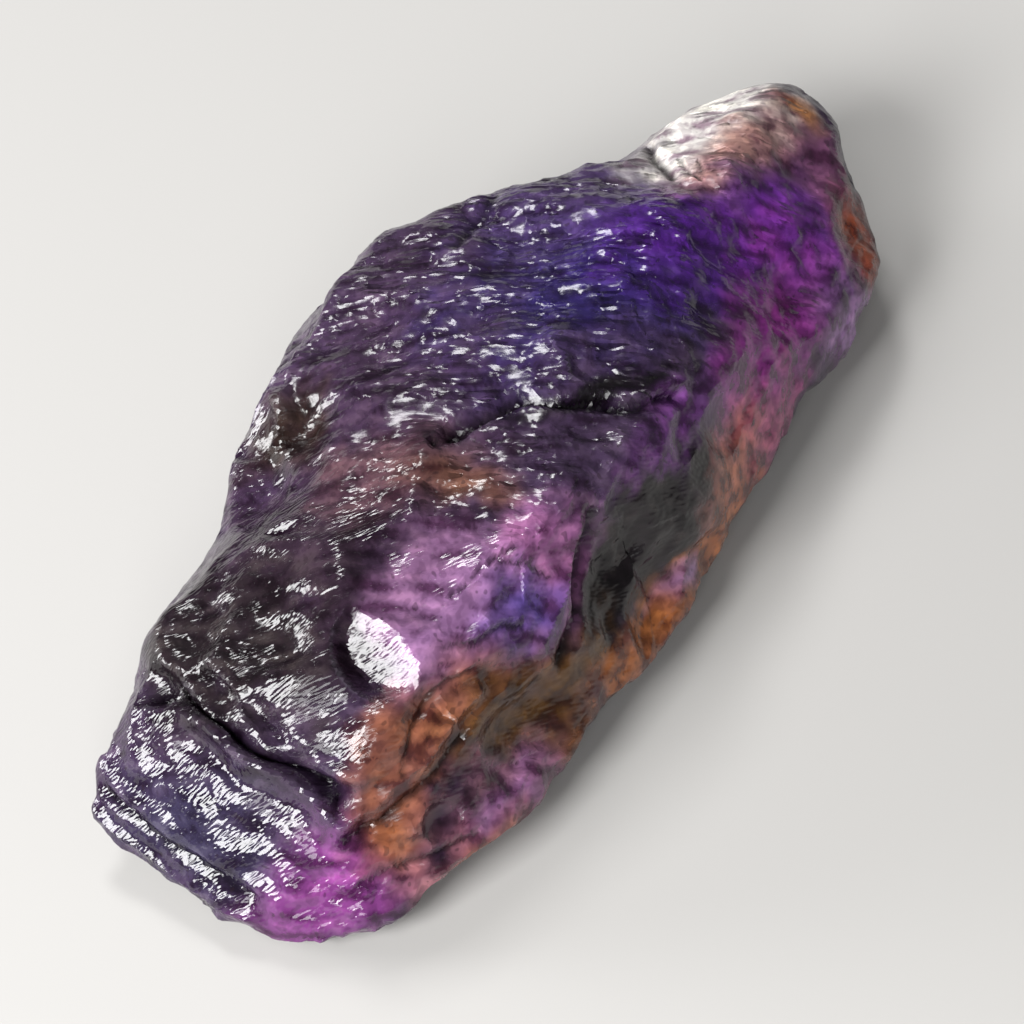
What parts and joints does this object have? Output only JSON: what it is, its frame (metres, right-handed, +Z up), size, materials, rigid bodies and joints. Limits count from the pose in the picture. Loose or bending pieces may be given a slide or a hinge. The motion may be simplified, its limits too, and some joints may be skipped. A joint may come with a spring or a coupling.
{
  "type": "rough ametrine",
  "caption": "Rough broken lump of purple and orange quartz with a frosted grooved top, a glassy flank and a stepped end; rests on its flat underside.",
  "frame": {"origin": "middle of the stone's box, on the surface it rests on", "axes": "+X along the stone towards its narrow milky tip, +Y towards the frosted slope, +Z up from the flat underside"},
  "size_m": [0.0516, 0.024, 0.0128],
  "materials": {
    "quartz": "rough broken quartz, purple with orange and brown patches and a milky tip; see-through where the break is smooth, frosted where it is grooved"
  },
  "bodies": {
    "root": {"ametrine": "quartz"}
  },
  "joints": []
}
